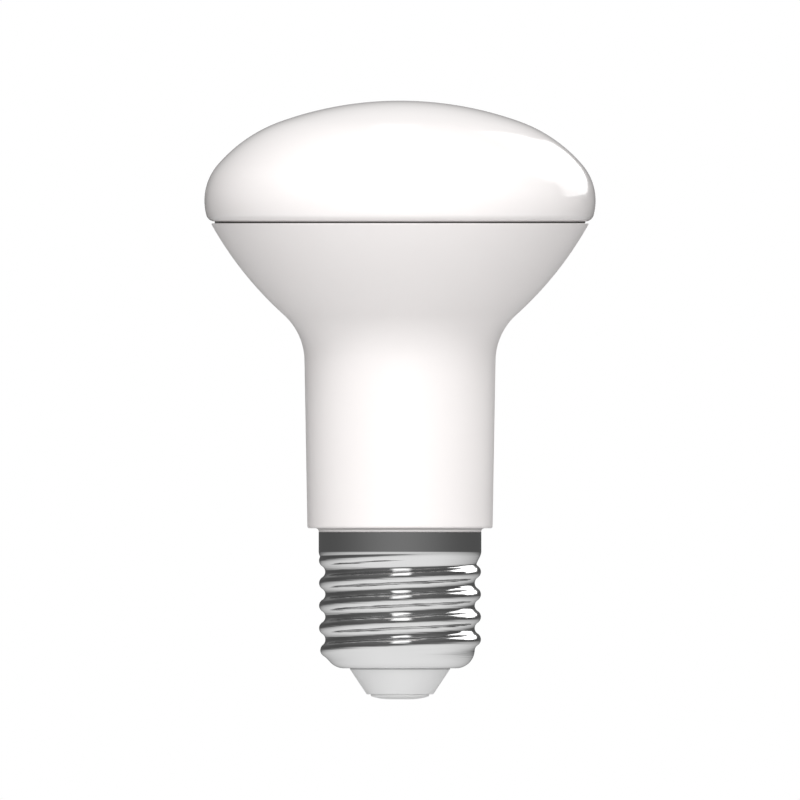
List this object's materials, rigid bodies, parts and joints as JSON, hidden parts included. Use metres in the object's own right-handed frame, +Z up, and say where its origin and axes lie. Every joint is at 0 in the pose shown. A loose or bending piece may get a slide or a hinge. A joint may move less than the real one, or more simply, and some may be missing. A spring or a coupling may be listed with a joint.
{
  "type": "reflector bulb",
  "caption": "LED reflector bulb: opal domed cover, white flared housing with a tapered neck, and a metal E27 screw cap with its insulator and centre contact.",
  "frame": {"origin": "middle of the centre contact's tip, the lowest point of the cap", "axes": "+Z up the bulb's axis from the contact to the top of the cover; X and Y across it, with the thread's crest crossing +X 9.65 mm above the tip"},
  "size_m": [0.063, 0.063, 0.0964],
  "materials": {
    "opal_cover": "smooth opal polycarbonate, satin gloss",
    "white_plastic": "moulded white plastic, satin",
    "plated_sheet": "nickel plated, bright",
    "grey_insulator": "moulded pale grey plastic, satin",
    "plated_contact": "nickel plated, bright"
  },
  "bodies": {
    "root": {"diffuser": "opal_cover", "housing": "white_plastic", "screw_shell": "plated_sheet", "insulator": "grey_insulator", "centre_contact": "plated_contact"}
  },
  "joints": []
}
